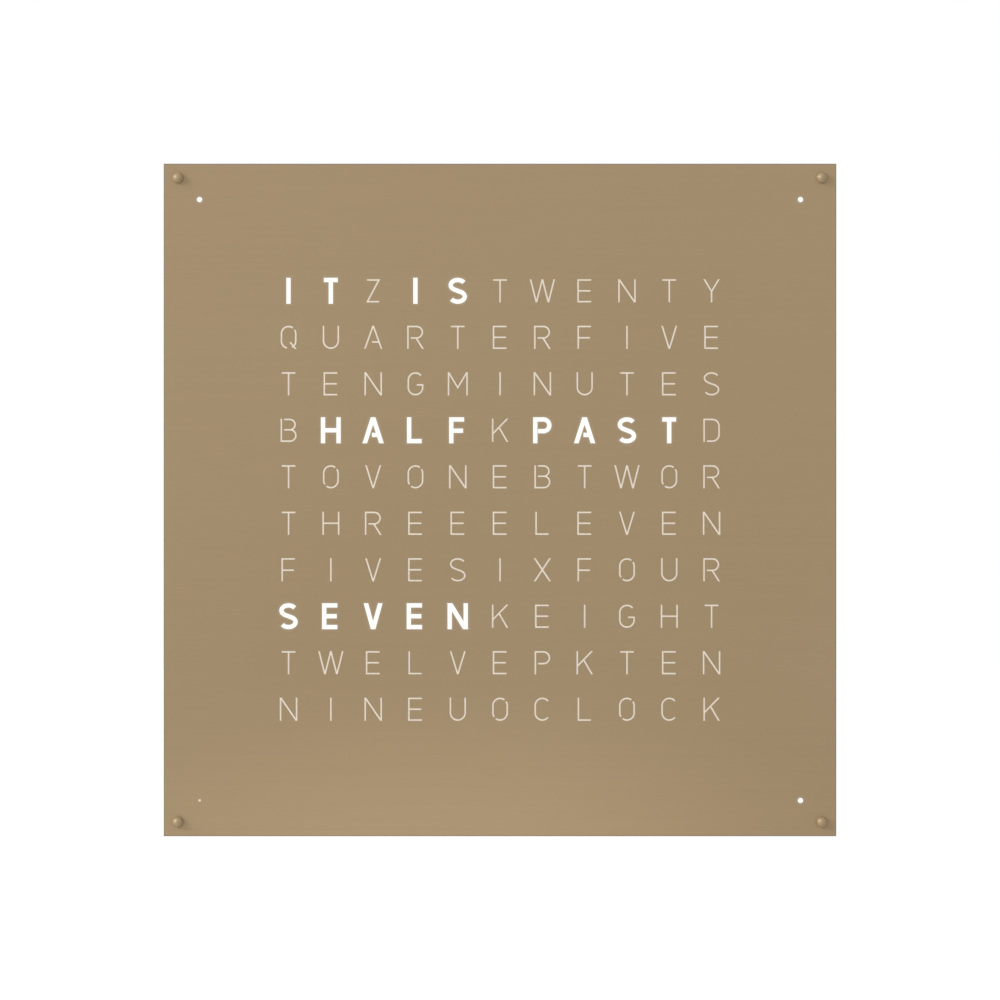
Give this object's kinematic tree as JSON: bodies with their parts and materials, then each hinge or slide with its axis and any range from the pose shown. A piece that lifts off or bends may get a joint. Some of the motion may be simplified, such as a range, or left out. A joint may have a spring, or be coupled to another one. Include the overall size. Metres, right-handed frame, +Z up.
{
  "type": "word clock",
  "caption": "Square wall clock that spells the time with lit letters behind a brushed bronze cover, held on by studs and magnets.",
  "frame": {"origin": "middle of the rear panel's back face, on the plane of the wall", "axes": "+Z up the wall, +Y into the wall, so the face looks along -Y, +X to the reader's right"},
  "size_m": [0.45, 0.0246, 0.45],
  "materials": {
    "cover_metal": "fine level brushing, bronze tint, satin",
    "stud_metal": "turned and satin polished, bronze tint",
    "brass": "turned",
    "magnet": "bright nickel plate",
    "black_moulding": "moulded, glass filled",
    "rear_moulding": "fine spark texture",
    "screw_steel": "black zinc",
    "hanger_steel": "zinc plated sheet",
    "chassis_aluminium": "mill finish sheet",
    "frame_aluminium": "black anodised, fine along-grain lines",
    "opal_sheet": "opal, satin",
    "white_moulding": "moulded, bright white inside",
    "lamp_package": "white case with a yellow lens",
    "white_board": "white solder mask",
    "green_board": "green solder mask",
    "ribbon": "grey ribbed jacket",
    "lead_jacket": "smooth",
    "rubber": "moulded",
    "inlet_steel": "drawn, tin plated",
    "cell_steel": "pressed, satin",
    "spacer_nylon": "natural nylon",
    "connector_nylon": "natural nylon",
    "chip_plastic": "moulded black",
    "key_plastic": "moulded black, satin"
  },
  "bodies": {
    "housing": {"backup_cell": "cell_steel", "board_connectors": "connector_nylon", "board_spacers": "spacer_nylon", "cell_holder": "chip_plastic", "chassis_plate": "chassis_aluminium", "clock_crystal": "inlet_steel", "control_board": "green_board", "corner_blocks": "black_moulding", "diffuser_sheet": "opal_sheet", "frame_rail_bottom": "frame_aluminium", "frame_rail_left": "frame_aluminium", "frame_rail_right": "frame_aluminium", "frame_rail_top": "frame_aluminium", "inlet_board": "green_board", "lamp_driver": "chip_plastic", "lead_grommet": "rubber", "light_baffle": "white_moulding", "light_sensor": "chip_plastic", "microcontroller": "chip_plastic", "minute_boards": "white_board", "minute_cells": "white_moulding", "minute_lamps": "lamp_package", "minute_leads": "ribbon", "power_inlet": "inlet_steel", "power_lead": "lead_jacket", "rear_panel": "rear_moulding", "rear_panel_screws": "screw_steel", "ribbon_cable": "ribbon", "row_board_01": "white_board", "row_board_02": "white_board", "row_board_03": "white_board", "row_board_04": "white_board", "row_board_05": "white_board", "row_board_06": "white_board", "row_board_07": "white_board", "row_board_08": "white_board", "row_board_09": "white_board", "row_board_10": "white_board", "row_lamps": "lamp_package", "socket_magnets": "magnet", "stud_sockets": "brass", "switch_bodies": "chip_plastic", "wall_hanger_left": "hanger_steel", "wall_hanger_right": "hanger_steel"},
    "cover": {"front_cover": "cover_metal", "cover_studs": "stud_metal"},
    "hour_key": {"hour_button": "key_plastic", "hour_plunger": "key_plastic"},
    "minute_key": {"minute_button": "key_plastic", "minute_plunger": "key_plastic"},
    "brightness_key": {"brightness_button": "key_plastic", "brightness_plunger": "key_plastic"}
  },
  "joints": [
    {"name": "cover_pull", "type": "slide", "parent": "housing", "child": "cover", "axis": [0, -1, 0], "range_m": [0, 0.04]},
    {"name": "hour_press", "type": "slide", "parent": "housing", "child": "hour_key", "axis": [0, 0, 1], "range_m": [0, 0.0005], "stiffness_N_per_m": 2000, "springref_m": -0.0001},
    {"name": "minute_press", "type": "slide", "parent": "housing", "child": "minute_key", "axis": [0, 0, 1], "range_m": [0, 0.0005], "stiffness_N_per_m": 2000, "springref_m": -0.0001},
    {"name": "brightness_press", "type": "slide", "parent": "housing", "child": "brightness_key", "axis": [0, 0, 1], "range_m": [0, 0.0005], "stiffness_N_per_m": 2000, "springref_m": -0.0001}
  ]
}
